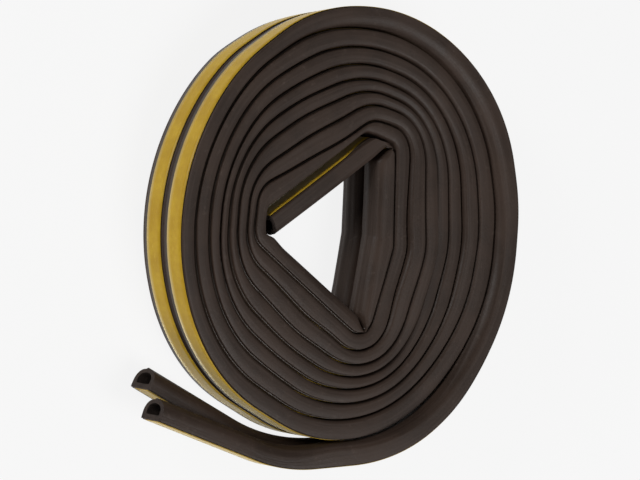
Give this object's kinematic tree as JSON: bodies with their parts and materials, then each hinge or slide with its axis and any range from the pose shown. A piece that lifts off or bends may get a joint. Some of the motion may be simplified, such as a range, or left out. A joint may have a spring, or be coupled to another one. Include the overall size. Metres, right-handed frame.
{
  "type": "coil of twin door seal strip",
  "caption": "Coil of twin self-adhesive hollow D-profile sponge-rubber door seal with paper release liners, its outer end torn into two loose tails.",
  "frame": {"origin": "on the resting face (the back strip's side walls), under the middle of the outline of the coil and its tails", "axes": "+Z along the winding axis, from the back strip to the front strip; +X from the loose tails' side across the coil; +Y from the side where the lead leaves the coil towards the opposite side"},
  "size_m": [0.1412, 0.1388, 0.018],
  "materials": {
    "sponge_rubber": "matt closed-cell skin, dark brown",
    "adhesive": "tacky translucent acrylic film on a fine mesh",
    "release_liner": "matt golden-yellow silicone-coated paper"
  },
  "bodies": {
    "coil": {"coil_seal_back": "sponge_rubber", "coil_adhesive_back": "adhesive", "coil_liner_back": "release_liner", "coil_seal_front": "sponge_rubber", "coil_adhesive_front": "adhesive", "coil_liner_front": "release_liner", "coil_tear_web": "sponge_rubber"},
    "lead": {"lead_seal_back": "sponge_rubber", "lead_adhesive_back": "adhesive", "lead_liner_back": "release_liner", "lead_seal_front": "sponge_rubber", "lead_adhesive_front": "adhesive", "lead_liner_front": "release_liner", "lead_tear_web": "sponge_rubber"},
    "front_tail": {"front_tail_seal": "sponge_rubber", "front_tail_adhesive": "adhesive", "front_tail_liner": "release_liner"},
    "back_tail": {"back_tail_seal": "sponge_rubber", "back_tail_adhesive": "adhesive", "back_tail_liner": "release_liner"},
    "front_liner_tab": {"front_tail_liner_tab": "release_liner"},
    "back_liner_tab": {"back_tail_liner_tab": "release_liner"}
  },
  "joints": [
    {"name": "lead_unroll", "type": "hinge", "parent": "coil", "child": "lead", "pos_m": [0.02787, -0.06108, 0], "axis": [0, 0, 1], "range_deg": [0, 60], "stiffness_Nm_per_rad": 0.02},
    {"name": "front_tail_flex", "type": "hinge", "parent": "lead", "child": "front_tail", "pos_m": [0.00466, -0.06559, 0], "axis": [0, 0, 1], "range_deg": [-3, 60], "stiffness_Nm_per_rad": 0.01},
    {"name": "back_tail_flex", "type": "hinge", "parent": "lead", "child": "back_tail", "pos_m": [0.00466, -0.06559, 0], "axis": [0, 0, 1], "range_deg": [-2, 60], "stiffness_Nm_per_rad": 0.01},
    {"name": "front_liner_peel", "type": "hinge", "parent": "front_tail", "child": "front_liner_tab", "pos_m": [-0.05938, -0.05462, 0], "axis": [0, 0, 1], "range_deg": [0, 150]},
    {"name": "back_liner_peel", "type": "hinge", "parent": "back_tail", "child": "back_liner_tab", "pos_m": [-0.05659, -0.04807, 0], "axis": [0, 0, 1], "range_deg": [0, 150]}
  ]
}
